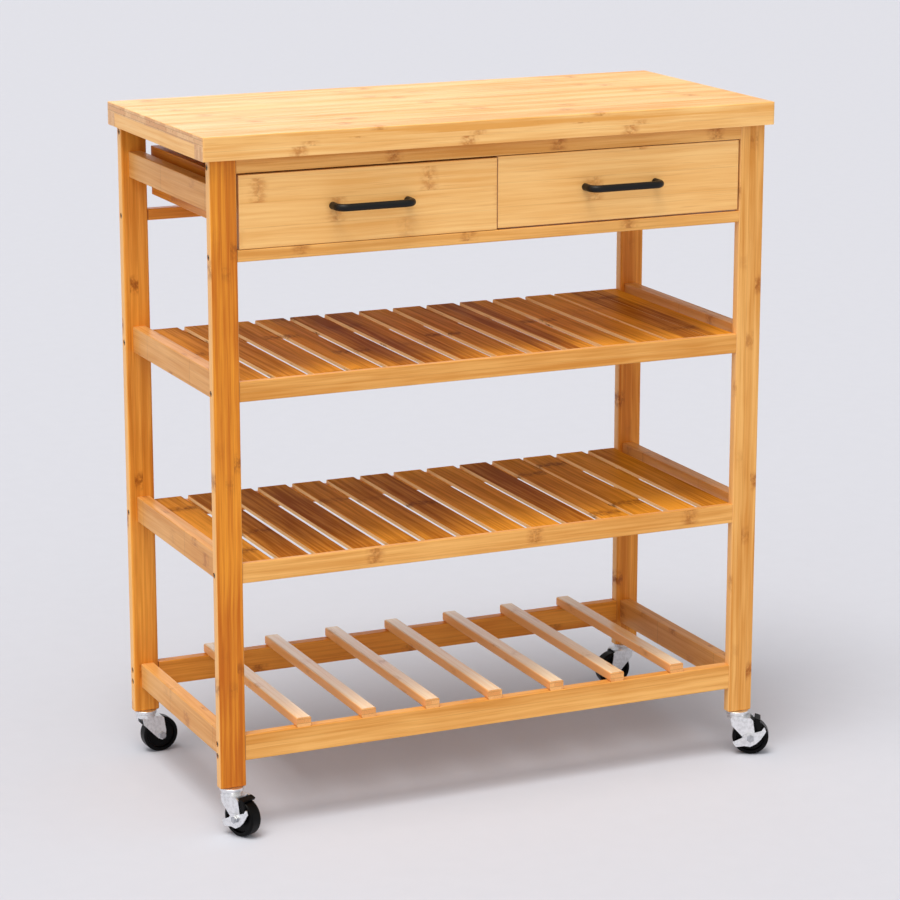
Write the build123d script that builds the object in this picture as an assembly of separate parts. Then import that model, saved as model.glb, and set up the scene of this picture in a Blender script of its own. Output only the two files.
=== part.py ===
from build123d import *
import math
import os

# Rolling utility cart: a bamboo frame with two drawers, two slatted shelves, a bottom rack,
# towel rails at both ends and four swivel casters, the front two with brakes.
# Millimetres. X runs along the cart, -Y is the drawer side, Z is up and the floor is Z = 0.
# Everything is built about the middle of the frame, then moved by ORIGIN_SHIFT as it is written.

# ---------------------------------------------------------------- driving dimensions

# Swivelled casters and handles reach further to the right and to the front, so the frame stands
# back and to the left of the origin, which is the middle of the whole cart's footprint.
ORIGIN_SHIFT = (-7, 14, 0)

FRAME_LENGTH = 780
FRAME_DEPTH = 354
LEG_WIDTH = 36
LEG_THICKNESS = 15
LEG_BOTTOM = 62
LEG_EDGE_RADIUS = 3
LEG_END_RADIUS = 1.5

TOP_LENGTH = 800
TOP_DEPTH = 368
TOP_SURFACE = 904
TOP_PANEL_THICKNESS = 12
TOP_THICKNESS = 30
BATTEN_WIDTH = 30

RAIL_THICKNESS = 15
RAIL_SETBACK = 1.5
SIDE_RAIL_THICKNESS = 18
SIDE_RAIL_SETBACK = 11
EDGE_RADIUS = 1.2

TOP_RAIL_HEIGHT = 18
DRAWER_RAIL_BOTTOM = 745.5
DRAWER_RAIL_HEIGHT = 15
TOWEL_RAIL_BOTTOM = 804.5
TOWEL_RAIL_HEIGHT = 34.5

# One entry for each slatted shelf: the underside of its rails, and the slats that differ from
# the rest, as slat number (from the left) and how far its left and right edges are moved along X.
SHELF_RAIL_BOTTOM = {"upper_shelf": 568, "middle_shelf": 332.5}
ODD_SLATS = {
    "upper_shelf": {11: (0, -1.4), 12: (-5.6, 9)},
    "middle_shelf": {10: (0, 2), 11: (-2, 0)},
}
SHELF_RAIL_HEIGHT = 26
SHELF_SIDE_RAIL_HEIGHT = 35
SHELF_LIP = 7.5
SLAT_COUNT = 14
SLAT_WIDTH = 42
SLAT_THICKNESS = 4.5
SLAT_SPAN = 707
SLAT_EDGE_RADIUS = 1
SLAT_CORNER_RADIUS = 2

RACK_RAIL_BOTTOM = 96
RACK_RAIL_HEIGHT = 34
RACK_BAR_COUNT = 7
RACK_BAR_PITCH = 91
RACK_BAR_WIDTH = 20
RACK_BAR_HEIGHT = 13
RACK_BAR_RADIUS = 2.5
RACK_BAR_SETBACK = 1

BOLT_HEAD_RADIUS = 3.4
BOLT_HEAD_LENGTH = 4
BOLT_SHANK_RADIUS = 2.5
BOLT_INTO_RAIL = 25
BOLT_SOCKET_RADIUS = 1.7
BOLT_SOCKET_DEPTH = 2.5
BOLT_SINK = 0.6
COUNTERBORE_PLAY = 0.4
RACK_BOLT_SPREAD = 8

DRAWER_FRONT_THICKNESS = 14.5
DRAWER_FRONT_HEIGHT = 92.5
# Bottom edge and X range of each drawer front; the left one hangs a little lower.
DRAWER_FRONTS = {
    "left": {"bottom": 761, "x": (-351.5, -0.2)},
    "right": {"bottom": 762.5, "x": (0.8, 351.5)},
}
DRAWER_BOX_RAISE = 20
DRAWER_BOX_HEIGHT = 65
DRAWER_BOARD = 12
DRAWER_REAR = 156
DRAWER_SIDE_GAP = 4
DRAWER_BOTTOM_THICKNESS = 3
DRAWER_BOTTOM_RAISE = 5
DRAWER_BOTTOM_GROOVE = 5
DRAWER_BOARD_RADIUS = 1
DIVIDER_THICKNESS = 16

RUNNER_HEIGHT = 14
RUNNER_RAISE = 31.5
RUNNER_ENGAGEMENT = 5
RUNNER_PLAY = 0.5
RUNNER_LENGTH = 318

HANDLE_ROD_RADIUS = 4.75
HANDLE_HOLE_SPACING = 102
HANDLE_PROJECTION = 28
HANDLE_BEND_RADIUS = 11
HANDLE_HEIGHT = 808
HANDLE_SCREW_RADIUS = 2
HANDLE_SCREW_INTO_ROD = 12
HANDLE_SCREW_HEAD_RADIUS = 4
HANDLE_SCREW_HEAD_LENGTH = 2.2

WHEEL_RADIUS = 25
WHEEL_WIDTH = 18
WHEEL_HUB_RADIUS = 6.5
WHEEL_HUB_WIDTH = 19
WHEEL_RIM_INNER_RADIUS = 19.5
WHEEL_WEB_WIDTH = 12
WHEEL_SHOULDER_RADIUS = 3
CASTER_TRAIL = 19
AXLE_RADIUS = 3
RUNNING_CLEARANCE = 0.06
STEM_RADIUS = 4
STEM_LENGTH = 32
STEM_DISC_RADIUS = 15.5
STEM_DISC_THICKNESS = 5.5
STEM_DISC_LOWER_RADIUS = 1.8
STEEL_EDGE_RADIUS = 0.8
KING_PIN_RADIUS = 3
KING_PIN_HEAD_RADIUS = 5
KING_PIN_HEAD_THICKNESS = 2
BODY_GAP = 0.3
FORK_DISC_RADIUS = 13.5
FORK_DISC_THICKNESS = 3
FORK_SHEET = 2
FORK_INNER_WIDTH = 20
FORK_BRIDGE_LENGTH = 18.5
FORK_CORNER_RADIUS = 1.5
AXLE_HEAD_RADIUS = 5.2
AXLE_HEAD_THICKNESS = 3
AXLE_END = 1
BRAKE_SHEET = 1.5
BRAKE_PLAY = 0.4
BRAKE_CORNER_RADIUS = 1
PEDAL_CHEEK = 2.4
PEDAL_CORNER_RADIUS = 0.8
PEDAL_TYRE_GAP = 1.2
PEDAL_SHOE_THICKNESS = 3.2
# The shoe's reach around the axle, in degrees up from the trailing direction.
PEDAL_SHOE_ANGLES = (63, 71, 79)

# Outlines of the caster's sheet parts, as distances from the axle along the trailing direction
# and up.
BRAKE_OUTLINE = [
    (-24.5, -6.5),
    (-19.5, -13.5),
    (-8, -11.5),
    (0, -12.5),
    (8, -8),
    (14.5, -1.5),
    (21.5, 10),
    (19, 17),
    (15, 11),
    (9.5, 9.2),
    (3, 7),
    (-6, 6),
    (-12, 0),
]
PEDAL_CHEEK_OUTLINE = [
    (5.8, 28),
    (8.2, 14.5),
    (10.5, 10),
    (14, 10.8),
    (15, 17),
    (12, 27),
]

# Where each caster stands (side along X, side along Y) and the direction, in degrees from +X,
# that its wheel trails in.
CASTERS = {
    "front_left": {"side": (-1, -1), "trail_angle": -64.5, "brake": True},
    "front_right": {"side": (1, -1), "trail_angle": -30, "brake": True},
    "back_left": {"side": (-1, 1), "trail_angle": 3, "brake": False},
    "back_right": {"side": (1, 1), "trail_angle": 180, "brake": False},
}

# ---------------------------------------------------------------- worked-out positions

LEG_OUTER_X = FRAME_LENGTH / 2
LEG_INNER_X = LEG_OUTER_X - LEG_WIDTH
LEG_OUTER_Y = FRAME_DEPTH / 2
LEG_INNER_Y = LEG_OUTER_Y - LEG_THICKNESS
LEG_TOP = TOP_SURFACE - TOP_THICKNESS
RAIL_OUTER_Y = LEG_OUTER_Y - RAIL_SETBACK
RAIL_INNER_Y = RAIL_OUTER_Y - RAIL_THICKNESS
RAIL_MIDDLE_Y = (RAIL_OUTER_Y + RAIL_INNER_Y) / 2
SIDE_RAIL_OUTER_X = LEG_OUTER_X - SIDE_RAIL_SETBACK
SIDE_RAIL_INNER_X = SIDE_RAIL_OUTER_X - SIDE_RAIL_THICKNESS
DRAWER_OUTER_X = LEG_INNER_X - DRAWER_SIDE_GAP
DRAWER_INNER_X = DIVIDER_THICKNESS / 2 + DRAWER_SIDE_GAP
DRAWER_FRONT_BACK_Y = -RAIL_OUTER_Y + DRAWER_FRONT_THICKNESS
STEM_DISC_BOTTOM = LEG_BOTTOM - STEM_DISC_THICKNESS
FORK_TOP = STEM_DISC_BOTTOM - BODY_GAP
FORK_PLATE_TOP = FORK_TOP - FORK_DISC_THICKNESS
FORK_PLATE_BOTTOM = FORK_PLATE_TOP - FORK_SHEET
FORK_OUTER_HALF = FORK_INNER_WIDTH / 2 + FORK_SHEET
BRAKE_OUTER_Y = -(FORK_OUTER_HALF + BRAKE_PLAY)
KING_PIN_BOTTOM = FORK_PLATE_BOTTOM - BODY_GAP - KING_PIN_HEAD_THICKNESS

# Height of every bolt that ties a front or back rail to a leg.
BOLT_HEIGHTS = [
    LEG_TOP - TOP_RAIL_HEIGHT / 2,
    DRAWER_RAIL_BOTTOM + DRAWER_RAIL_HEIGHT / 2,
    SHELF_RAIL_BOTTOM["upper_shelf"] + SHELF_RAIL_HEIGHT / 2,
    SHELF_RAIL_BOTTOM["middle_shelf"] + SHELF_RAIL_HEIGHT / 2,
    RACK_RAIL_BOTTOM + RACK_RAIL_HEIGHT / 2 + RACK_BOLT_SPREAD,
    RACK_RAIL_BOTTOM + RACK_RAIL_HEIGHT / 2 - RACK_BOLT_SPREAD,
]

nodes = {}


# ---------------------------------------------------------------- helpers

def block(x, y, z):
    """A plain box between two values along each axis, given in either order."""
    sizes = [abs(side[1] - side[0]) for side in (x, y, z)]
    corner = Pos(min(x), min(y), min(z))
    return corner * Box(*sizes, align=(Align.MIN, Align.MIN, Align.MIN))


def rounded_block(x, y, z, along, radius=EDGE_RADIUS):
    """A box whose four edges along one axis are rounded."""
    solid = block(x, y, z)
    return fillet(solid.edges().filter_by(along), radius)


def rod(start, direction, radius, length):
    """A cylinder that starts at a point and runs along a direction."""
    plane = Plane(origin=start, z_dir=direction)
    return extrude(plane * Circle(radius), amount=length)


def mirrored(side, low, high):
    """The same range on the positive or on the negative side of an axis."""
    return (side * low, side * high)


def outline(points):
    """A flat face in the XZ plane, bounded by straight lines through the points."""
    wire = Wire.make_polygon([Vector(x, 0, z) for x, z in points], close=True)
    return make_face(wire)


def plate(points, y, thickness, radius):
    """A sheet standing in the XZ plane, from y towards -Y, with its corners rounded."""
    solid = extrude(outline(points), amount=thickness, dir=(0, -1, 0))
    solid = Pos(0, y, 0) * solid
    return fillet(solid.edges().filter_by(Axis.Y), radius)


# ---------------------------------------------------------------- worktop

def make_top():
    half_length = TOP_LENGTH / 2
    half_depth = TOP_DEPTH / 2
    panel_bottom = TOP_SURFACE - TOP_PANEL_THICKNESS
    panel = block((-half_length, half_length), (-half_depth, half_depth), (panel_bottom, TOP_SURFACE))
    panel = fillet(panel.edges().filter_by(Axis.Z), LEG_EDGE_RADIUS)
    panel = fillet(panel.faces().sort_by(Axis.Z)[-1].edges(), EDGE_RADIUS)
    nodes["top_panel"] = panel

    battens = []
    inner_length = half_length - BATTEN_WIDTH
    inner_depth = half_depth - BATTEN_WIDTH
    heights = (LEG_TOP, panel_bottom)
    for side in (-1, 1):
        long_batten = block((-half_length, half_length), mirrored(side, inner_depth, half_depth), heights)
        corners = long_batten.edges().filter_by(Axis.Z).group_by(Axis.Y)
        long_batten = fillet(corners[-1] if side > 0 else corners[0], LEG_EDGE_RADIUS)
        end_batten = block(mirrored(side, inner_length, half_length), (-inner_depth, inner_depth), heights)
        battens += [long_batten, end_batten]
    nodes["top_battens"] = Compound(battens)


# ---------------------------------------------------------------- frame

def bolt_holes(x_side, y_side):
    """The counterbored holes of one leg, and of the rails that end on it."""
    holes = []
    for height in BOLT_HEIGHTS:
        start = (x_side * LEG_OUTER_X, y_side * RAIL_MIDDLE_Y, height)
        inward = (-x_side, 0, 0)
        holes.append(rod(start, inward, BOLT_HEAD_RADIUS + COUNTERBORE_PLAY, BOLT_SINK + BOLT_HEAD_LENGTH))
        holes.append(rod(start, inward, BOLT_SHANK_RADIUS, LEG_WIDTH + BOLT_INTO_RAIL))
    return holes


def make_legs():
    for name, caster in CASTERS.items():
        x_side, y_side = caster["side"]
        leg = block(
            mirrored(x_side, LEG_INNER_X, LEG_OUTER_X),
            mirrored(y_side, LEG_INNER_Y, LEG_OUTER_Y),
            (LEG_BOTTOM, LEG_TOP),
        )
        leg = fillet(leg.edges().filter_by(Axis.Z), LEG_EDGE_RADIUS)
        leg = fillet(leg.faces().sort_by(Axis.Z)[0].edges(), LEG_END_RADIUS)
        stem_x, stem_y = leg_middle(caster["side"])
        stem_hole = rod((stem_x, stem_y, LEG_BOTTOM), (0, 0, 1), STEM_RADIUS, STEM_LENGTH)
        nodes["leg_" + name] = leg - bolt_holes(x_side, y_side) - stem_hole


def make_bolts():
    bolts = []
    for x_side in (-1, 1):
        for y_side in (-1, 1):
            for height in BOLT_HEIGHTS:
                start = (x_side * (LEG_OUTER_X - BOLT_SINK), y_side * RAIL_MIDDLE_Y, height)
                inward = (-x_side, 0, 0)
                head = rod(start, inward, BOLT_HEAD_RADIUS, BOLT_HEAD_LENGTH)
                shank = rod(start, inward, BOLT_SHANK_RADIUS, LEG_WIDTH + BOLT_INTO_RAIL - BOLT_SINK)
                socket_plane = Plane(origin=start, z_dir=inward)
                socket_shape = socket_plane * RegularPolygon(BOLT_SOCKET_RADIUS, 6)
                bolts.append(head + shank - extrude(socket_shape, amount=BOLT_SOCKET_DEPTH))
    nodes["frame_bolts"] = Compound(bolts)


def long_rail(y_side, bottom, height):
    """A rail between the left and right legs, at the front or the back, with its bolt holes."""
    rail = rounded_block(
        (-LEG_INNER_X, LEG_INNER_X),
        mirrored(y_side, RAIL_INNER_Y, RAIL_OUTER_Y),
        (bottom, bottom + height),
        Axis.X,
    )
    for x_side in (-1, 1):
        rail = rail - bolt_holes(x_side, y_side)
    return rail


def side_rail(x_side, bottom, height):
    """A rail between the front and back legs, at the left or right end."""
    return rounded_block(
        mirrored(x_side, SIDE_RAIL_INNER_X, SIDE_RAIL_OUTER_X),
        (-LEG_INNER_Y, LEG_INNER_Y),
        (bottom, bottom + height),
        Axis.Y,
    )


def make_drawer_bay():
    for name, y_side in (("front", -1), ("back", 1)):
        nodes["top_rail_" + name] = long_rail(y_side, LEG_TOP - TOP_RAIL_HEIGHT, TOP_RAIL_HEIGHT)
        nodes["drawer_rail_" + name] = long_rail(y_side, DRAWER_RAIL_BOTTOM, DRAWER_RAIL_HEIGHT)
    for name, x_side in (("left", -1), ("right", 1)):
        nodes["towel_rail_" + name] = side_rail(x_side, TOWEL_RAIL_BOTTOM, TOWEL_RAIL_HEIGHT)

    half_divider = DIVIDER_THICKNESS / 2
    nodes["drawer_divider"] = block(
        (-half_divider, half_divider), (-RAIL_INNER_Y, RAIL_INNER_Y), (DRAWER_RAIL_BOTTOM, LEG_TOP)
    )

    runners = []
    for name, x_side in (("left", -1), ("right", 1)):
        outer_reach = DRAWER_OUTER_X - RUNNER_ENGAGEMENT
        inner_reach = DRAWER_INNER_X + RUNNER_ENGAGEMENT
        for low, high in ((outer_reach, SIDE_RAIL_INNER_X), (half_divider, inner_reach)):
            bottom = runner_bottom(name)
            runners.append(
                block(
                    mirrored(x_side, low, high),
                    (-RUNNER_LENGTH / 2, RUNNER_LENGTH / 2),
                    (bottom, bottom + RUNNER_HEIGHT),
                )
            )
    nodes["drawer_runners"] = Compound(runners)


# ---------------------------------------------------------------- shelves and rack

def make_shelf(shelf):
    bottom = SHELF_RAIL_BOTTOM[shelf]
    slat_top = bottom + SHELF_RAIL_HEIGHT
    slat_bottom = slat_top - SLAT_THICKNESS
    lip_y = -RAIL_OUTER_Y + SHELF_LIP

    front = long_rail(-1, bottom, SHELF_RAIL_HEIGHT)
    ledge_cut = block((-LEG_OUTER_X, LEG_OUTER_X), (lip_y, 0), (slat_bottom, slat_top))
    nodes[shelf + "_rail_front"] = front - ledge_cut
    nodes[shelf + "_rail_back"] = long_rail(1, bottom, SHELF_RAIL_HEIGHT - SLAT_THICKNESS)
    for name, x_side in (("left", -1), ("right", 1)):
        nodes[shelf + "_rail_" + name] = side_rail(x_side, bottom, SHELF_SIDE_RAIL_HEIGHT)

    pitch = (SLAT_SPAN - SLAT_WIDTH) / (SLAT_COUNT - 1)
    slats = []
    for number in range(SLAT_COUNT):
        left = -SLAT_SPAN / 2 + number * pitch
        left_shift, right_shift = ODD_SLATS[shelf].get(number, (0, 0))
        slat = block(
            (left + left_shift, left + SLAT_WIDTH + right_shift),
            (lip_y, RAIL_OUTER_Y),
            (slat_bottom, slat_top),
        )
        slat = fillet(slat.edges().filter_by(Axis.Z), SLAT_CORNER_RADIUS)
        slat = fillet(slat.faces().sort_by(Axis.Z)[-1].edges(), SLAT_EDGE_RADIUS)
        slats.append(slat)
    nodes[shelf + "_slats"] = Compound(slats)


def make_rack():
    rail_top = RACK_RAIL_BOTTOM + RACK_RAIL_HEIGHT
    for name, y_side in (("front", -1), ("back", 1)):
        nodes["rack_rail_" + name] = long_rail(y_side, RACK_RAIL_BOTTOM, RACK_RAIL_HEIGHT)
    side_rails = [side_rail(x_side, RACK_RAIL_BOTTOM, RACK_RAIL_HEIGHT) for x_side in (-1, 1)]
    nodes["rack_side_rails"] = Compound(side_rails)

    bars = []
    for number in range(RACK_BAR_COUNT):
        middle = (number - (RACK_BAR_COUNT - 1) / 2) * RACK_BAR_PITCH
        bar = rounded_block(
            (middle - RACK_BAR_WIDTH / 2, middle + RACK_BAR_WIDTH / 2),
            (-RAIL_OUTER_Y + RACK_BAR_SETBACK, RAIL_OUTER_Y),
            (rail_top, rail_top + RACK_BAR_HEIGHT),
            Axis.Y,
            RACK_BAR_RADIUS,
        )
        bars.append(bar)
    nodes["rack_bars"] = Compound(bars)


# ---------------------------------------------------------------- drawers

def box_bottom(name):
    """Underside of a drawer's side boards."""
    return DRAWER_FRONTS[name]["bottom"] + DRAWER_BOX_RAISE


def runner_bottom(name):
    return box_bottom(name) + RUNNER_RAISE


def drawer_side(name, x_side, outer):
    """One side board, grooved outside for its runner and inside for the drawer's bottom."""
    if outer:
        outside, inside = DRAWER_OUTER_X, DRAWER_OUTER_X - DRAWER_BOARD
    else:
        outside, inside = DRAWER_INNER_X, DRAWER_INNER_X + DRAWER_BOARD
    inward = math.copysign(1, inside - outside)
    bottom = box_bottom(name)
    length = (DRAWER_FRONT_BACK_Y, DRAWER_REAR)
    board = rounded_block(
        mirrored(x_side, inside, outside),
        length,
        (bottom, bottom + DRAWER_BOX_HEIGHT),
        Axis.Y,
        DRAWER_BOARD_RADIUS,
    )
    runner_groove = block(
        mirrored(x_side, outside, outside + inward * (RUNNER_ENGAGEMENT + RUNNER_PLAY)),
        length,
        (runner_bottom(name) - RUNNER_PLAY, runner_bottom(name) + RUNNER_HEIGHT + RUNNER_PLAY),
    )
    panel_bottom = bottom + DRAWER_BOTTOM_RAISE
    panel_groove = block(
        mirrored(x_side, inside, inside - inward * DRAWER_BOTTOM_GROOVE),
        length,
        (panel_bottom, panel_bottom + DRAWER_BOTTOM_THICKNESS),
    )
    return board - runner_groove - panel_groove


def drawer_handle(middle_x):
    """A round bar bent back at both ends, standing on the drawer's front."""
    half = HANDLE_HOLE_SPACING / 2
    face = -RAIL_OUTER_Y
    reach = face - HANDLE_PROJECTION + HANDLE_ROD_RADIUS
    points = [
        (middle_x - half, face, HANDLE_HEIGHT),
        (middle_x - half, reach, HANDLE_HEIGHT),
        (middle_x + half, reach, HANDLE_HEIGHT),
        (middle_x + half, face, HANDLE_HEIGHT),
    ]
    path = FilletPolyline(*points, radius=HANDLE_BEND_RADIUS)
    section = Plane(origin=points[0], z_dir=(0, -1, 0)) * Circle(HANDLE_ROD_RADIUS)
    return sweep(section, path)


def make_drawer(name, x_side):
    front_size = DRAWER_FRONTS[name]
    bottom = front_size["bottom"]
    front_face = -RAIL_OUTER_Y
    handle_x = sum(front_size["x"]) / 2
    board_bottom = box_bottom(name)
    panel_bottom = board_bottom + DRAWER_BOTTOM_RAISE
    panel_top = panel_bottom + DRAWER_BOTTOM_THICKNESS
    side_inside_x = (DRAWER_INNER_X + DRAWER_BOARD, DRAWER_OUTER_X - DRAWER_BOARD)
    panel_x = (side_inside_x[0] - DRAWER_BOTTOM_GROOVE, side_inside_x[1] + DRAWER_BOTTOM_GROOVE)
    panel_front = DRAWER_FRONT_BACK_Y - DRAWER_BOTTOM_GROOVE
    prefix = "drawer_" + name + "_"

    front_heights = (bottom, bottom + DRAWER_FRONT_HEIGHT)
    front = block(front_size["x"], (front_face, DRAWER_FRONT_BACK_Y), front_heights)
    front = fillet(front.faces().sort_by(Axis.Y)[0].edges(), EDGE_RADIUS)
    front = front - block(mirrored(x_side, *panel_x), (panel_front, 0), (panel_bottom, panel_top))

    screws = []
    for hole_x in (handle_x - HANDLE_HOLE_SPACING / 2, handle_x + HANDLE_HOLE_SPACING / 2):
        head_start = (hole_x, DRAWER_FRONT_BACK_Y + HANDLE_SCREW_HEAD_LENGTH, HANDLE_HEIGHT)
        shank_length = HANDLE_SCREW_HEAD_LENGTH + DRAWER_FRONT_THICKNESS + HANDLE_SCREW_INTO_ROD
        head = rod(head_start, (0, -1, 0), HANDLE_SCREW_HEAD_RADIUS, HANDLE_SCREW_HEAD_LENGTH)
        shank = rod(head_start, (0, -1, 0), HANDLE_SCREW_RADIUS, shank_length)
        front = front - shank
        screws.append(head + shank)

    nodes[prefix + "front"] = front
    nodes[prefix + "handle"] = drawer_handle(handle_x) - screws
    nodes[prefix + "handle_screws"] = Compound(screws)
    nodes[prefix + "outer_side"] = drawer_side(name, x_side, outer=True)
    nodes[prefix + "inner_side"] = drawer_side(name, x_side, outer=False)
    nodes[prefix + "back"] = block(
        mirrored(x_side, *side_inside_x),
        (DRAWER_REAR - DRAWER_BOARD, DRAWER_REAR),
        (panel_top, board_bottom + DRAWER_BOX_HEIGHT),
    )
    nodes[prefix + "bottom"] = block(
        mirrored(x_side, *panel_x), (panel_front, DRAWER_REAR), (panel_bottom, panel_top)
    )


# ---------------------------------------------------------------- casters
# Each caster is built with its swivel axis on Z and its wheel trailing towards +X, and is then
# turned and moved under its leg. Its brake is on the -Y side.

def leg_middle(side):
    x = side[0] * (LEG_OUTER_X - LEG_WIDTH / 2)
    y = side[1] * (LEG_OUTER_Y - LEG_THICKNESS / 2)
    return x, y


def make_stem():
    """The part fixed to the leg: stem, bearing cover and the king pin that carries the fork."""
    stem = rod((0, 0, LEG_BOTTOM), (0, 0, 1), STEM_RADIUS, STEM_LENGTH)
    cover = rod((0, 0, STEM_DISC_BOTTOM), (0, 0, 1), STEM_DISC_RADIUS, STEM_DISC_THICKNESS)
    cover = fillet(cover.edges().sort_by(Axis.Z)[0], STEM_DISC_LOWER_RADIUS)
    cover = fillet(cover.edges().sort_by(Axis.Z)[-1], STEEL_EDGE_RADIUS)
    pin_length = STEM_DISC_BOTTOM - KING_PIN_BOTTOM
    pin = rod((0, 0, KING_PIN_BOTTOM), (0, 0, 1), KING_PIN_RADIUS, pin_length)
    head = rod((0, 0, KING_PIN_BOTTOM), (0, 0, 1), KING_PIN_HEAD_RADIUS, KING_PIN_HEAD_THICKNESS)
    return stem + cover + pin + head


def make_fork():
    """A pressed steel fork: a raised disc, a crown and two side plates."""
    disc = rod((0, 0, FORK_PLATE_TOP), (0, 0, 1), FORK_DISC_RADIUS, FORK_DISC_THICKNESS)
    disc = fillet(disc.edges().sort_by(Axis.Z)[-1], STEEL_EDGE_RADIUS)
    crown = rod((0, 0, FORK_PLATE_BOTTOM), (0, 0, 1), FORK_DISC_RADIUS, FORK_SHEET)
    bridge = block(
        (0, FORK_BRIDGE_LENGTH),
        (-FORK_OUTER_HALF, FORK_OUTER_HALF),
        (FORK_PLATE_BOTTOM, FORK_PLATE_TOP),
    )
    fork = disc + crown + bridge

    side_points = [
        (-9, FORK_PLATE_TOP),
        (FORK_BRIDGE_LENGTH, FORK_PLATE_TOP),
        (CASTER_TRAIL + 3.2, FORK_PLATE_TOP - 3.4),
        (CASTER_TRAIL + 6, WHEEL_RADIUS + 6),
        (CASTER_TRAIL + 5, WHEEL_RADIUS - 4.5),
        (CASTER_TRAIL, WHEEL_RADIUS - 7),
        (CASTER_TRAIL - 6, WHEEL_RADIUS - 4),
        (-7, WHEEL_RADIUS + 17),
    ]
    for y in (-FORK_INNER_WIDTH / 2, FORK_OUTER_HALF):
        fork = fork + plate(side_points, y, FORK_SHEET, FORK_CORNER_RADIUS)
    pin_hole = rod((0, 0, 0), (0, 0, 1), KING_PIN_RADIUS + RUNNING_CLEARANCE, LEG_BOTTOM)
    return fork - pin_hole - axle_hole(AXLE_RADIUS)


def axle_hole(radius):
    """A bore along the axle, through everything that the caster carries there."""
    reach = 2 * FORK_OUTER_HALF
    return rod((CASTER_TRAIL, reach, WHEEL_RADIUS), (0, -1, 0), radius, 2 * reach)


def make_axle(brake):
    """A bolt through fork and wheel, with a round head and a nut outside."""
    near_side = FORK_OUTER_HALF
    if brake:
        near_side += 2 * BRAKE_PLAY + BRAKE_SHEET
    start = (CASTER_TRAIL, FORK_OUTER_HALF + AXLE_HEAD_THICKNESS, WHEEL_RADIUS)
    length = FORK_OUTER_HALF + near_side + 2 * AXLE_HEAD_THICKNESS + AXLE_END
    shaft = rod(start, (0, -1, 0), AXLE_RADIUS, length)
    head = rod(start, (0, -1, 0), AXLE_HEAD_RADIUS, AXLE_HEAD_THICKNESS)
    head = fillet(head.edges().sort_by(Axis.Y)[-1], STEEL_EDGE_RADIUS)
    nut_plane = Plane(origin=(CASTER_TRAIL, -near_side, WHEEL_RADIUS), z_dir=(0, -1, 0))
    nut = extrude(nut_plane * RegularPolygon(AXLE_HEAD_RADIUS, 6), amount=AXLE_HEAD_THICKNESS)
    return shaft + head + nut


def make_wheel():
    """A moulded wheel: rounded tread, thin web and a hub that runs on the axle."""
    half = WHEEL_WIDTH / 2
    section_points = [
        (AXLE_RADIUS + RUNNING_CLEARANCE, WHEEL_HUB_WIDTH / 2),
        (WHEEL_HUB_RADIUS, WHEEL_HUB_WIDTH / 2),
        (WHEEL_HUB_RADIUS + 1, WHEEL_WEB_WIDTH / 2),
        (WHEEL_RIM_INNER_RADIUS - 1, WHEEL_WEB_WIDTH / 2),
        (WHEEL_RIM_INNER_RADIUS, half),
        (WHEEL_RADIUS, half),
    ]
    other_side = [(radius, -y) for radius, y in reversed(section_points)]
    wire = Wire.make_polygon([Vector(r, y, 0) for r, y in section_points + other_side], close=True)
    section = make_face(wire)
    tread_corners = section.vertices().group_by(Axis.X)[-1]
    section = fillet(tread_corners, WHEEL_SHOULDER_RADIUS)
    wheel = revolve(section, axis=Axis.Y)
    return Pos(CASTER_TRAIL, 0, WHEEL_RADIUS) * wheel


def around_axle(points):
    return [(CASTER_TRAIL + x, WHEEL_RADIUS + z) for x, z in points]


def make_brake_plate():
    """A stamped lever that turns on the axle, with a low tail and a hooked nose."""
    lever = plate(around_axle(BRAKE_OUTLINE), BRAKE_OUTER_Y, BRAKE_SHEET, BRAKE_CORNER_RADIUS)
    return lever - axle_hole(AXLE_RADIUS + RUNNING_CLEARANCE)


def make_brake_pedal():
    """A moulded pedal behind the lever's nose: a cheek beside the wheel and a shoe over its tread."""
    cheek_y = BRAKE_OUTER_Y + PEDAL_CHEEK
    cheek = plate(around_axle(PEDAL_CHEEK_OUTLINE), cheek_y, PEDAL_CHEEK, PEDAL_CORNER_RADIUS)
    inner_radius = WHEEL_RADIUS + PEDAL_TYRE_GAP
    outer_radius = inner_radius + PEDAL_SHOE_THICKNESS
    far_side = (CASTER_TRAIL, FORK_INNER_WIDTH / 2, WHEEL_RADIUS)
    shoe_width = FORK_INNER_WIDTH / 2 - BRAKE_OUTER_Y
    ring = rod(far_side, (0, -1, 0), outer_radius, shoe_width) - axle_hole(inner_radius)
    sector_points = [(0, 0)]
    reach = 2 * outer_radius
    for angle in PEDAL_SHOE_ANGLES:
        direction = math.radians(angle)
        sector_points.append((reach * math.cos(direction), reach * math.sin(direction)))
    sector = Pos(0, FORK_INNER_WIDTH / 2, 0) * outline(around_axle(sector_points))
    sector = extrude(sector, amount=shoe_width, dir=(0, -1, 0))
    return cheek + (ring & sector)


def make_casters():
    stems = []
    for name, caster in CASTERS.items():
        x, y = leg_middle(caster["side"])
        place = Pos(x, y, 0) * Rot(0, 0, caster["trail_angle"])
        stems.append(place * make_stem())
        prefix = "caster_" + name + "_"
        nodes[prefix + "fork"] = place * make_fork()
        nodes[prefix + "axle"] = place * make_axle(caster["brake"])
        nodes[prefix + "wheel"] = place * make_wheel()
        if caster["brake"]:
            nodes[prefix + "brake_plate"] = place * make_brake_plate()
            nodes[prefix + "brake_pedal"] = place * make_brake_pedal()
    nodes["caster_stems"] = Compound(stems)


# ---------------------------------------------------------------- build and write

make_top()
make_legs()
make_bolts()
make_drawer_bay()
for shelf_name in SHELF_RAIL_BOTTOM:
    make_shelf(shelf_name)
make_rack()
make_drawer("left", -1)
make_drawer("right", 1)
make_casters()

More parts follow.
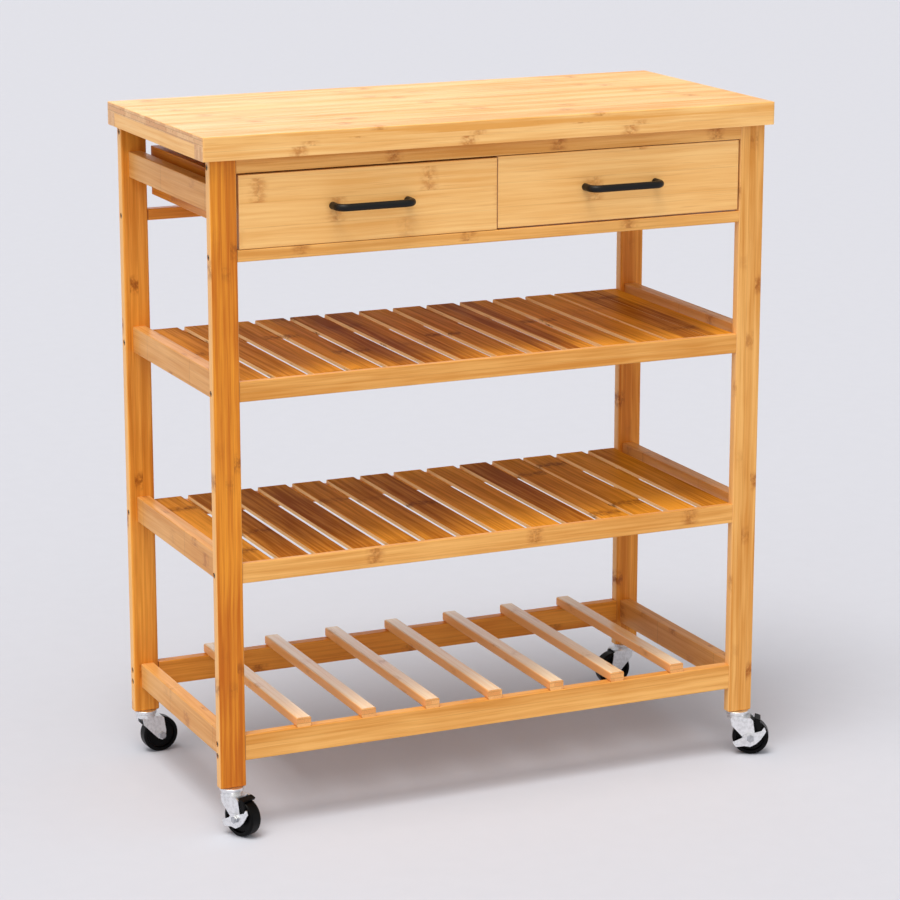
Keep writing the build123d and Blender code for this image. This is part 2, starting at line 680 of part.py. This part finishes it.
os.makedirs("parts", exist_ok=True)
for node_name, shape in nodes.items():
    export_step(Pos(*ORIGIN_SHIFT) * shape, os.path.join("parts", node_name + ".step"))
print(len(nodes), "nodes written")
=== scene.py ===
import math
import bpy
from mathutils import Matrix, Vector


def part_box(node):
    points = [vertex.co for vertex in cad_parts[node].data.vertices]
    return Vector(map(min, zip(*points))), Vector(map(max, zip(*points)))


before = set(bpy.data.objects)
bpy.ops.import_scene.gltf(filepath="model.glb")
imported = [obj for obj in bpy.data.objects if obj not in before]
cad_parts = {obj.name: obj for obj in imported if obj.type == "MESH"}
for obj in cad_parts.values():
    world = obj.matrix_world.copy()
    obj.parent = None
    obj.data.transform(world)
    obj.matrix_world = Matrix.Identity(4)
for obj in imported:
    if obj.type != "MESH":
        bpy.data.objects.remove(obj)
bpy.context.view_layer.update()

# ---------------------------------------------------------------- lens and light, in metres

MM = 0.001

# The camera stands in front of the cart's left end, a little above the worktop.
CAMERA_PLACE = (-1.6933, -3.7388, 1.4547)
CAMERA_YAW = math.radians(24.363)
CAMERA_PITCH = math.radians(13.974)
CAMERA_LENS = 125.28
CAMERA_SENSOR = 36
CAMERA_REACH = 200

FLOOR_RADIUS = 60
FLOOR_CORNERS = 64
FLOOR_COLOUR = (195, 200, 215)

# The sky is a pale band round the horizon with a dome over it, brighter in front than behind.
HORIZON_COLOUR = (196, 195, 199)
FRONT_SKY = (250, 245, 236)
BACK_SKY = (136, 132, 128)
SKY_STRENGTH = 1.4
RIGHT_SHADE = 0.5

# A soft box behind the cart: the middle of its direction, how bright it is, and the cosines of
# the angles from its middle at which it starts and is full.
BOX_FROM = (0.21, 0.93, 0.30)
BOX_STRENGTH = 2.0
BOX_RIM = 0.965
BOX_CORE = 0.99

# One very wide, soft sun.
SUN_FROM = (-0.24, -0.18, 0.95)
SUN_STRENGTH = 2.35
SUN_WIDTH = math.radians(34)
SUN_COLOUR = (255, 248, 236)

NODE_NAMES = sorted(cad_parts)


def linear(colour):
    """A display colour, 0 to 255 in each channel, as the linear values that shaders take."""
    values = []
    for channel in colour:
        share = channel / 255
        values.append(share / 12.92 if share <= 0.04045 else ((share + 0.055) / 1.055) ** 2.4)
    return (*values, 1)


def scaled(colour, factor):
    return tuple(channel * factor for channel in colour)


# ---------------------------------------------------------------- a small node-graph writer

class Graph:
    """Writes nodes into a tree. A value is a number, a tuple or another node's output."""

    def __init__(self, tree):
        self.tree = tree

    def feed(self, socket, value):
        if isinstance(value, bpy.types.NodeSocket):
            self.tree.links.new(value, socket)
        else:
            socket.default_value = value

    def add(self, kind, inputs=None, output=0, **settings):
        node = self.tree.nodes.new(kind)
        for key, value in settings.items():
            setattr(node, key, value)
        for key, value in (inputs or {}).items():
            self.feed(node.inputs[key], value)
        return node.outputs[output]

    def calc(self, operation, *values):
        inputs = dict(enumerate(values))
        return self.add("ShaderNodeMath", inputs, operation=operation)

    def plus(self, first, second):
        return self.calc("ADD", first, second)

    def minus(self, first, second):
        return self.calc("SUBTRACT", first, second)

    def times(self, first, second):
        return self.calc("MULTIPLY", first, second)

    def combine(self, x, y, z):
        return self.add("ShaderNodeCombineXYZ", {0: x, 1: y, 2: z})

    def split(self, vector):
        node = self.tree.nodes.new("ShaderNodeSeparateXYZ")
        self.feed(node.inputs[0], vector)
        return list(node.outputs)

    def place(self, output="Object"):
        return self.tree.nodes.new("ShaderNodeTexCoord").outputs[output]

    def blend(self, share, first, second):
        """Colour first where share is 0, second where it is 1."""
        node = self.tree.nodes.new("ShaderNodeMix")
        node.data_type = "RGBA"
        self.feed(node.inputs[0], share)
        self.feed(node.inputs[6], first)
        self.feed(node.inputs[7], second)
        return node.outputs[2]

    def soften(self, value, low, high, low_result=0.0, high_result=1.0):
        """A smooth step from low_result to high_result as value goes from low to high."""
        return self.add(
            "ShaderNodeMapRange",
            {0: value, 1: low, 2: high, 3: low_result, 4: high_result},
            interpolation_type="SMOOTHSTEP",
        )

    def noise(self, vector, scale=1.0, detail=2.0, roughness=0.5):
        return self.add(
            "ShaderNodeTexNoise",
            {"Vector": vector, "Scale": scale, "Detail": detail, "Roughness": roughness},
        )

    def dice(self, vector):
        """A random value, and a random colour split in three, for each whole-number vector."""
        node = self.tree.nodes.new("ShaderNodeTexWhiteNoise")
        self.feed(node.inputs["Vector"], vector)
        return node.outputs["Value"], self.split(node.outputs["Color"])

    def bump(self, height, strength, distance):
        return self.add(
            "ShaderNodeBump", {"Height": height, "Strength": strength, "Distance": distance}
        )

    def set(self, **sockets):
        """Feeds the surface shader's sockets, named with _ for each space."""
        shader = self.tree.nodes["Principled BSDF"]
        for key, value in sockets.items():
            self.feed(shader.inputs[key.replace("_", " ")], value)


def new_material(name):
    """A new material, and the graph that writes its nodes."""
    material = bpy.data.materials.new(name)
    material.use_nodes = True
    return material, Graph(material.node_tree)


# ---------------------------------------------------------------- bamboo

# Which object axes run along the grain, across the strips and through the layers.
GRAIN = {
    "along_x_flat": (0, 1, 2),
    "along_x_upright": (0, 2, 1),
    "along_y_flat": (1, 0, 2),
    "along_y_upright": (1, 2, 0),
    "along_z": (2, 0, 1),
}

# Distances in the wood: how far fibres wander, a knot's reach, and the glue lines' widths.
FIBRE_WANDER = 7 * MM
KNOT_REACH = 17 * MM
KNOT_HEART = 2 * MM
KNOT_WOBBLE = 9 * MM
KNOT_LINE = 1.6 * MM
KNOT_LINE_CORE = 0.2 * MM
SEAM = 0.5 * MM
SEAM_CORE = 0.1 * MM
JOINT = 1.1 * MM
JOINT_CORE = 0.2 * MM
RELIEF = 0.25 * MM

# Noise sizes, in waves per metre along the grain and across it.
STREAK_ALONG = 5.0
STREAK_ACROSS = 190.0
FIBRE_ALONG = 14.0
FIBRE_ACROSS = 1100.0
CLOUD_SCALE = 6.0
MOTTLE_SCALE = 170.0
DOT_SCALE = 1100.0

SEAM_DEPTH = 0.14
JOINT_DEPTH = 0.25
END_SEAM_DEPTH = 0.5
LINE_DEPTH = 0.16
LINE_SHADE = 0.62
FLECK_SHARE = 0.3
DOT_SHARE = 0.35
PAINTED_LIGHT_EDGE_SHARE = 0.8
COAT_ROUGHNESS = 0.16


def glue_line(g, position, size, width, core, depth):
    """A dark line at each whole number of position, where one number is size long."""
    distance = g.times(g.calc("PINGPONG", position, 0.5), size)
    return g.soften(distance, width, core, 0.0, depth)


def knot_marks(g, u, v, w, stretched, knot_every, random, knot_strength):
    """Every strip has knots at its own places: a darker mottled patch with a thin line."""
    wobble = g.times(g.minus(g.noise(stretched, 2.0, 2.0, 0.5), 0.5), KNOT_WOBBLE)
    phase = g.plus(g.calc("DIVIDE", g.plus(u, wobble), knot_every), random[0])
    distance = g.calc("ABSOLUTE", g.minus(g.calc("FRACT", phase), 0.5))
    distance = g.times(distance, knot_every)
    mottle = g.noise(g.combine(g.times(u, 0.7), v, w), MOTTLE_SCALE, 4.0, 0.6)
    patch = g.soften(distance, KNOT_REACH, KNOT_HEART)
    patch = g.times(patch, g.soften(mottle, 0.35, 0.62, 0.15, 1.0))
    shown = g.soften(random[1], 0.15, 0.9)
    patch = g.times(patch, g.times(shown, knot_strength))
    line = g.times(g.soften(distance, KNOT_LINE, KNOT_LINE_CORE), g.times(shown, LINE_DEPTH))
    return patch, line


def bamboo(
    name,
    grain,
    light,
    dark,
    knot,
    end_light,
    end_dark,
    strip=20 * MM,
    layer=6 * MM,
    knot_every=230 * MM,
    piece_length=None,
    seed=0.0,
    rough=0.32,
    shine=0.25,
    coat=0.0,
    coat_ior=1.5,
    contrast=1.0,
    strip_contrast=0.3,
    knot_strength=0.75,
    painted_light_edge_colour=None,
):
    """Laminated bamboo: strips glued side by side and in layers, with knots, fibres and end grain."""
    material, g = new_material(name)
    place = g.split(g.place("Object"))
    normal = g.split(g.place("Normal"))
    along, across, through = GRAIN[grain]
    u = g.plus(place[along], seed * 0.37)
    v = g.plus(place[across], seed * 0.0113 + 1)
    w = g.plus(place[through], seed * 0.0071 + 1)

    # Strips: each layer's strips start at their own offset, like bricks.
    layer_place = g.calc("DIVIDE", w, layer)
    layer_number = g.calc("FLOOR", layer_place)
    layer_shift, _ = g.dice(g.combine(layer_number, seed, 3.0))
    strip_place = g.plus(g.calc("DIVIDE", v, strip), layer_shift)
    strip_number = g.calc("FLOOR", strip_place)
    seam = glue_line(g, strip_place, strip, SEAM, SEAM_CORE, SEAM_DEPTH)
    piece_number = seed
    if piece_length:
        joint_shift, _ = g.dice(g.combine(seed, 7.0, 5.0))
        joint_place = g.plus(g.calc("DIVIDE", u, piece_length), joint_shift)
        piece_number = g.calc("FLOOR", joint_place)
        joint = glue_line(g, joint_place, piece_length, JOINT, JOINT_CORE, JOINT_DEPTH)
        seam = g.calc("MAXIMUM", seam, joint)
    tone, random = g.dice(g.combine(strip_number, layer_number, piece_number))

    # Fibres: long fine streaks that wander a little, and short dark flecks.
    cloud = g.noise(g.combine(u, g.times(v, 2.5), w), CLOUD_SCALE, 2.0, 0.5)
    wavy = g.plus(v, g.times(cloud, FIBRE_WANDER))
    stretched = g.combine(
        g.times(u, STREAK_ALONG), g.times(wavy, STREAK_ACROSS), g.times(w, STREAK_ACROSS)
    )
    streak = g.soften(g.noise(stretched, 1.0, 3.0, 0.6), 0.3, 0.7)
    fine = g.combine(
        g.times(u, FIBRE_ALONG), g.times(v, FIBRE_ACROSS), g.times(w, FIBRE_ACROSS)
    )
    fibre = g.noise(fine, 1.0, 2.0, 0.6)
    fleck = g.soften(fibre, 0.56, 0.74)
    patch, line = knot_marks(g, u, v, w, stretched, knot_every, random, knot_strength)

    # The long faces: streaks, strips of their own tone and broad clouds, then the marks.
    share = g.calc("MULTIPLY_ADD", streak, 0.6 * contrast, 0.5 - 0.3 * contrast)
    share = g.calc("MULTIPLY_ADD", g.minus(tone, 0.5), strip_contrast, share)
    share = g.calc("MULTIPLY_ADD", g.minus(cloud, 0.5), 1.1 * contrast, share)
    share = g.add("ShaderNodeClamp", {0: share})
    colour = g.blend(share, linear(light), linear(dark))
    # Painted light: the faces across the strips get a colour of their own, standing in for how light
    # falls on them compared with the broad faces.
    if painted_light_edge_colour:
        on_painted_light_edge = g.soften(g.calc("ABSOLUTE", normal[across]), 0.5, 0.9, 0.0, PAINTED_LIGHT_EDGE_SHARE)
        colour = g.blend(on_painted_light_edge, colour, linear(painted_light_edge_colour))
    dark_line = linear(scaled(knot, LINE_SHADE))
    colour = g.blend(g.times(fleck, FLECK_SHARE), colour, linear(knot))
    colour = g.blend(patch, colour, linear(knot))
    colour = g.blend(g.calc("MAXIMUM", line, seam), colour, dark_line)

    # End grain: bundles show as dots, strip by strip.
    end = g.soften(g.calc("ABSOLUTE", normal[along]), 0.6, 0.9)
    dots = g.add(
        "ShaderNodeTexVoronoi",
        {"Vector": g.combine(0.0, v, w), "Scale": DOT_SCALE},
        voronoi_dimensions="3D",
    )
    dot = g.soften(dots, 0.42, 0.2)
    layer_seam = glue_line(g, layer_place, layer, SEAM, SEAM_CORE, END_SEAM_DEPTH)
    end_colour = g.blend(g.times(random[2], 0.9), linear(end_light), linear(end_dark))
    end_colour = g.blend(g.times(dot, DOT_SHARE), end_colour, dark_line)
    end_colour = g.blend(g.calc("MAXIMUM", layer_seam, seam), end_colour, dark_line)
    colour = g.blend(end, colour, end_colour)

    rough_value = g.plus(rough, g.times(streak, 0.12))
    relief = g.minus(g.times(fibre, 0.5), seam)
    relief = g.minus(relief, g.times(line, 0.6))
    g.set(Base_Color=colour, Roughness=rough_value, Normal=g.bump(relief, 0.25, RELIEF))
    g.set(Specular_IOR_Level=shine, Coat_Roughness=COAT_ROUGHNESS, Coat_IOR=coat_ior)
    if coat:
        # Varnish lies on the broad faces only.
        broad = g.calc("ABSOLUTE", normal[through])
        g.set(Coat_Weight=g.soften(broad, 0.6, 0.95, 0.0, coat))
    return material


PALE = dict(
    light=(250, 203, 133),
    dark=(229, 165, 86),
    knot=(184, 110, 42),
    end_light=(236, 192, 140),
    end_dark=(212, 154, 104),
)
# Painted highlight: near white, standing in for the glare on the rack bars' broad faces.
CREAM_PAINTED_HIGHLIGHT = dict(
    light=(255, 230, 190),
    dark=(246, 200, 146),
    knot=(206, 140, 80),
    end_light=(244, 184, 118),
    end_dark=(224, 154, 90),
)
PEACH = dict(
    light=(228, 170, 98),
    dark=(204, 136, 62),
    knot=(170, 100, 42),
    end_light=(236, 192, 140),
    end_dark=(212, 154, 104),
)
# Painted light: brighter and more saturated than the wood's tone, for the back legs and back rails that
# sit in shade.
HONEY_PAINTED_LIGHT = dict(
    light=(242, 166, 66),
    dark=(204, 120, 28),
    knot=(156, 82, 16),
    end_light=(210, 140, 74),
    end_dark=(170, 100, 46),
)
GOLD = dict(
    light=(240, 182, 104),
    dark=(210, 140, 58),
    knot=(166, 94, 30),
    end_light=(214, 148, 86),
    end_dark=(178, 110, 58),
)
AMBER = dict(
    light=(236, 153, 44),
    dark=(190, 100, 12),
    knot=(140, 70, 12),
    end_light=(206, 136, 70),
    end_dark=(164, 94, 40),
)
# The slats' own deep tone, darkened further as painted shade under the worktop and the upper shelf.
RUSSET_AND_PAINTED_SHADE = dict(
    light=(226, 150, 42),
    dark=(154, 84, 8),
    knot=(116, 58, 6),
    end_light=(204, 132, 66),
    end_dark=(160, 94, 38),
)

# The narrow faces, painted light: paler than the rest on legs and slats as painted light from the left,
# darker on the rack's bars, whose broad faces are painted near white as a painted highlight.
LEG_EDGE_PAINTED_LIGHT = (244, 192, 122)
SLAT_EDGE_PAINTED_LIGHT = (255, 217, 160)
BAR_EDGE = (234, 158, 80)


def give(node, material):
    """The CAD node shows one material."""
    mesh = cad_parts[node].data
    mesh.materials.clear()
    mesh.materials.append(material)


def give_by_face(node, materials, choose):
    """The CAD node shows several materials, chosen by each face's middle."""
    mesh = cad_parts[node].data
    mesh.materials.clear()
    for material in materials:
        mesh.materials.append(material)
    for face in mesh.polygons:
        face.material_index = choose(face.center)


# ---------------------------------------------------------------- the wooden parts

BATTEN = 30 * MM
RIM_STRIP = 22 * MM
LEG_STRIP = 12 * MM
LEG_LAYER = 15 * MM
LEG_KNOTS = 270 * MM
SIDE_RAIL_STRIP = 18 * MM
SIDE_RAIL_PIECE = 165 * MM
SLAT_PITCH = 51.15 * MM
SLAT_LAYER = 9 * MM
DRAWER_STRIP = 31 * MM
PLY_STRIP = 200 * MM
WORKTOP_KNOTS = 310 * MM


def finish_top():
    low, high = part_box("top_panel")
    worktop = bamboo(
        "bamboo_worktop",
        "along_x_flat",
        seed=2,
        knot_every=WORKTOP_KNOTS,
        rough=0.26,
        shine=0.12,
        contrast=1.3,
        strip_contrast=0.6,
        knot_strength=0.6,
        **PALE,
    )
    underside = bamboo("bamboo_underside", "along_x_flat", seed=3, rough=0.6, shine=0.0, **PALE)
    give_by_face("top_panel", [worktop, underside], lambda point: int(point.z < low.z + MM))
    long_grain = bamboo("bamboo_rim_long", "along_x_upright", strip=RIM_STRIP, seed=4, **PALE)
    end_grain = bamboo("bamboo_rim_end", "along_y_upright", strip=RIM_STRIP, seed=5, **PALE)

    def is_end_batten(point):
        between = low.y + BATTEN - MM < point.y < high.y - BATTEN + MM
        at_end = point.x < low.x + BATTEN + MM or point.x > high.x - BATTEN - MM
        return int(between and at_end)

    give_by_face("top_battens", [long_grain, end_grain], is_end_batten)


def finish_legs():
    for seed, name in enumerate(("front_left", "front_right", "back_left", "back_right")):
        # Painted light in part: the back legs take the brightened back palette, and the front legs
        # differ partly by their own tone and partly by painted light.
        palette = {"front_left": AMBER, "front_right": GOLD}.get(name, HONEY_PAINTED_LIGHT)
        material = bamboo(
            "bamboo_leg_" + name,
            "along_z",
            strip=LEG_STRIP,
            layer=LEG_LAYER,
            seed=11 + seed,
            knot_every=LEG_KNOTS,
            contrast=1.25,
            strip_contrast=0.5,
            knot_strength=0.95,
            painted_light_edge_colour=LEG_EDGE_PAINTED_LIGHT,
            **palette,
        )
        give("leg_" + name, material)


def finish_rails():
    for seed, name in enumerate(n for n in NODE_NAMES if n.endswith(("_front", "_back"))):
        if name.startswith(("leg", "drawer_left", "drawer_right")):
            continue
        # Painted light: the back rails sit in shade and take the brightened back palette.
        palette = GOLD if name.endswith("front") else HONEY_PAINTED_LIGHT
        give(name, bamboo("bamboo_" + name, "along_x_upright", seed=21 + seed, contrast=1.1, **palette))
    side_names = ("_rail_left", "_rail_right", "side_rails")
    for seed, name in enumerate(n for n in NODE_NAMES if n.endswith(side_names)):
        material = bamboo(
            "bamboo_" + name,
            "along_y_upright",
            strip=SIDE_RAIL_STRIP,
            seed=41 + seed,
            piece_length=SIDE_RAIL_PIECE,
            **PEACH,
        )
        give(name, material)
    give("drawer_runners", bamboo("bamboo_runners", "along_y_upright", seed=51, **AMBER))
    give("drawer_divider", bamboo("bamboo_divider", "along_y_upright", seed=52, **AMBER))


def finish_shelves():
    for seed, shelf in enumerate(("upper_shelf", "middle_shelf")):
        material = bamboo(
            "bamboo_" + shelf,
            "along_y_flat",
            strip=SLAT_PITCH,
            layer=SLAT_LAYER,
            seed=61 + seed,
            rough=0.42,
            shine=0.01,
            contrast=0.95,
            strip_contrast=0.8,
            painted_light_edge_colour=SLAT_EDGE_PAINTED_LIGHT,
            **RUSSET_AND_PAINTED_SHADE,
        )
        give(shelf + "_slats", material)
    # The bars' broad faces are painted near white as a painted highlight; their sides keep an orange
    # tone.
    bars = bamboo(
        "bamboo_rack",
        "along_y_flat",
        seed=65,
        rough=0.3,
        shine=0.1,
        coat=1.0,
        coat_ior=2.3,
        painted_light_edge_colour=BAR_EDGE,
        **CREAM_PAINTED_HIGHLIGHT,
    )
    give("rack_bars", bars)


def finish_drawers():
    for seed, side in enumerate(("left", "right")):
        prefix = "drawer_" + side + "_"
        front = bamboo(
            "bamboo_" + prefix + "front",
            "along_x_upright",
            strip=DRAWER_STRIP,
            seed=71 + seed,
            contrast=0.75,
            strip_contrast=0.2,
            knot_strength=0.6,
            **PALE,
        )
        # Painted light in part: the box boards' tone is deepened and saturated to stand in for warm
        # bounced light on their shaded sides.
        board = bamboo("bamboo_" + prefix + "box", "along_y_upright", seed=75 + seed, **AMBER)
        back = bamboo("bamboo_" + prefix + "back", "along_x_upright", seed=78 + seed, **GOLD)
        bottom = bamboo("plywood_" + prefix, "along_x_flat", strip=PLY_STRIP, seed=81 + seed, **PALE)
        give(prefix + "front", front)
        give(prefix + "outer_side", board)
        give(prefix + "inner_side", board)
        give(prefix + "back", back)
        give(prefix + "bottom", bottom)


# ---------------------------------------------------------------- metal and plastic

def plated_steel(name, colour, rough):
    """Bright zinc plate: faint rolling marks, cloudy plating and small scratches."""
    material, g = new_material(name)
    place = g.place()
    cloud = g.noise(place, 240.0, 3.0, 0.6)
    rolled = g.add("ShaderNodeMapping", {"Vector": place, "Scale": (900.0, 120.0, 2200.0)})
    scratch = g.noise(rolled, 1.0, 3.0, 0.7)
    tint = g.blend(g.soften(cloud, 0.35, 0.7), linear(colour), linear(scaled(colour, 0.91)))
    rough_value = g.plus(rough, g.times(scratch, 0.18))
    g.set(Base_Color=tint, Metallic=1.0, Roughness=rough_value, Normal=g.bump(scratch, 0.12, 0.1 * MM))
    return material


def black_coat(name, shade, rough, grain_scale, grain_depth, shine):
    """Black finish with a fine texture, from powder coat to moulded plastic."""
    material, g = new_material(name)
    place = g.place()
    grain = g.noise(place, grain_scale, 3.0, 0.6)
    dust = g.noise(place, 60.0, 4.0, 0.65)
    lighter = tuple(channel * 1.5 + 3 for channel in shade)
    dusty = g.times(g.soften(dust, 0.5, 0.75), 0.6)
    rough_value = g.plus(rough, g.times(dust, 0.14))
    g.set(Base_Color=g.blend(dusty, linear(shade), linear(lighter)), Roughness=rough_value)
    g.set(Normal=g.bump(grain, 0.3, grain_depth), Specular_IOR_Level=shine)
    return material


def finish_hardware():
    zinc = plated_steel("zinc_plate", (243, 245, 248), 0.26)
    bolt = plated_steel("bolt_steel", (150, 138, 118), 0.35)
    axle = plated_steel("axle_steel", (196, 199, 204), 0.2)
    handle = black_coat("handle_black", (11, 11, 12), 0.34, 1500.0, 0.12 * MM, 0.25)
    tyre = black_coat("wheel_black", (5, 5, 6), 0.26, 300.0, 0.05 * MM, 0.1)
    pedal = black_coat("pedal_black", (8, 8, 9), 0.36, 1800.0, 0.08 * MM, 0.12)
    for name in NODE_NAMES:
        if name.endswith("_handle"):
            give(name, handle)
        elif name.endswith(("_screws", "_bolts")):
            give(name, bolt)
        elif name.endswith("_wheel"):
            give(name, tyre)
        elif name.endswith("_pedal"):
            give(name, pedal)
        elif name.endswith("_axle"):
            give(name, axle)
        elif name.startswith("caster_"):
            give(name, zinc)


# ---------------------------------------------------------------- studio

def make_floor():
    ring = []
    for corner in range(FLOOR_CORNERS):
        angle = 2 * math.pi * corner / FLOOR_CORNERS
        ring.append((FLOOR_RADIUS * math.cos(angle), FLOOR_RADIUS * math.sin(angle), 0))
    mesh = bpy.data.meshes.new("floor")
    mesh.from_pydata(ring, [], [list(range(FLOOR_CORNERS))])
    floor = bpy.data.objects.new("floor", mesh)
    bpy.context.collection.objects.link(floor)
    paper, g = new_material("floor_paper")
    speckle = g.noise(g.place(), 30.0, 3.0, 0.5)
    darker = tuple(channel - 3 for channel in FLOOR_COLOUR)
    g.set(Base_Color=g.blend(speckle, linear(FLOOR_COLOUR), linear(darker)), Roughness=0.85)
    mesh.materials.append(paper)


def make_sun():
    """The sun is so far off that the floor is evenly lit as far as the eye sees."""
    data = bpy.data.lights.new("sun", "SUN")
    data.energy = SUN_STRENGTH
    data.angle = SUN_WIDTH
    data.color = linear(SUN_COLOUR)[:3]
    sun = bpy.data.objects.new("sun", data)
    sun.rotation_mode = "QUATERNION"
    sun.rotation_quaternion = (-Vector(SUN_FROM)).to_track_quat("-Z", "Y")
    bpy.context.collection.objects.link(sun)


def make_sky():
    world = bpy.data.worlds.new("studio")
    world.use_nodes = True
    g = Graph(world.node_tree)
    direction = g.split(g.place("Generated"))
    to_back = g.soften(direction[1], -0.35, 0.45)
    dome = g.blend(to_back, linear(FRONT_SKY), linear(BACK_SKY))
    to_right = g.soften(direction[0], -0.5, 0.7)
    dome = g.blend(g.times(to_right, RIGHT_SHADE), dome, linear((0, 0, 0)))
    height = g.calc("ABSOLUTE", direction[2])
    sky = g.blend(g.soften(height, 0.22, 0.34), linear(HORIZON_COLOUR), dome)
    towards_box = 0
    for own, box in zip(direction, BOX_FROM):
        towards_box = g.calc("MULTIPLY_ADD", own, box, towards_box)
    strength = g.soften(towards_box, BOX_RIM, BOX_CORE, SKY_STRENGTH, SKY_STRENGTH + BOX_STRENGTH)
    background = world.node_tree.nodes["Background"]
    g.feed(background.inputs["Strength"], strength)
    g.feed(background.inputs["Color"], sky)
    bpy.context.scene.world = world


def make_camera():
    data = bpy.data.cameras.new("camera")
    data.sensor_width = CAMERA_SENSOR
    data.lens = CAMERA_LENS
    data.clip_end = CAMERA_REACH
    camera = bpy.data.objects.new("camera", data)
    camera.location = CAMERA_PLACE
    camera.rotation_euler = (math.pi / 2 - CAMERA_PITCH, 0, -CAMERA_YAW)
    bpy.context.collection.objects.link(camera)
    bpy.context.scene.camera = camera
    bpy.context.scene.view_settings.view_transform = "Standard"


make_camera()
make_floor()
make_sky()
make_sun()
finish_top()
finish_legs()
finish_rails()
finish_shelves()
finish_drawers()
finish_hardware()
